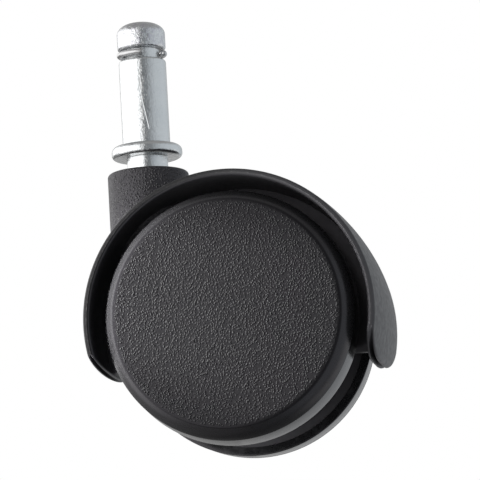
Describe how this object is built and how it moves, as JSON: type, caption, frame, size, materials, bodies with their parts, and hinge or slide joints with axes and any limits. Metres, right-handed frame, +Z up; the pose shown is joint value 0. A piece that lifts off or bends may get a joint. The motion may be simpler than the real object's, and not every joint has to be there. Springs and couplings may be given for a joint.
{
  "type": "swivel furniture caster",
  "caption": "Hooded twin-wheel swivel caster on a domed steel grip-ring stem with a round flange, for chairs and small furniture.",
  "frame": {"origin": "on the swivel axis, at the flange's upper face, where the stem enters the furniture's socket", "axes": "+Z up along the stem, +X level from the stem toward the axle, +Y along the axle"},
  "size_m": [0.0584, 0.038, 0.0881],
  "materials": {
    "zinc_steel": "bright zinc plate",
    "spring_steel": "bright wire, lightly plated",
    "hood_nylon": "black moulded nylon, satin outside with a fine grain on the neck",
    "wheel_nylon": "black moulded nylon, satin",
    "tread": "smooth satin black",
    "grained_cover": "fine spark-eroded grain on the face, smooth rounded shoulder",
    "acetal": "natural white"
  },
  "bodies": {
    "stem": {"stem_pin": "zinc_steel", "grip_ring": "spring_steel", "stem_clip": "spring_steel"},
    "housing": {"hood_housing": "hood_nylon", "swivel_bush": "acetal", "thrust_ball": "zinc_steel", "axle_pin": "zinc_steel", "inner_washer_near": "acetal", "inner_washer_far": "acetal", "outer_washer_near": "zinc_steel", "outer_washer_far": "zinc_steel", "axle_clip_near": "spring_steel", "axle_clip_far": "spring_steel"},
    "wheel_near": {"wheel_body_near": "wheel_nylon", "tread_ring_near": "tread", "wheel_cap_near": "grained_cover", "hub_bush_near": "acetal"},
    "wheel_far": {"wheel_body_far": "wheel_nylon", "tread_ring_far": "tread", "wheel_cap_far": "grained_cover", "hub_bush_far": "acetal"}
  },
  "joints": [
    {"name": "swivel", "type": "hinge", "parent": "stem", "child": "housing", "pos_m": [0, 0, 0], "axis": [0, 0, 1], "continuous": true},
    {"name": "spin_near", "type": "hinge", "parent": "housing", "child": "wheel_near", "pos_m": [0.0174, -0.012, -0.038], "axis": [0, 1, 0], "continuous": true},
    {"name": "spin_far", "type": "hinge", "parent": "housing", "child": "wheel_far", "pos_m": [0.0174, 0.012, -0.038], "axis": [0, 1, 0], "continuous": true}
  ]
}
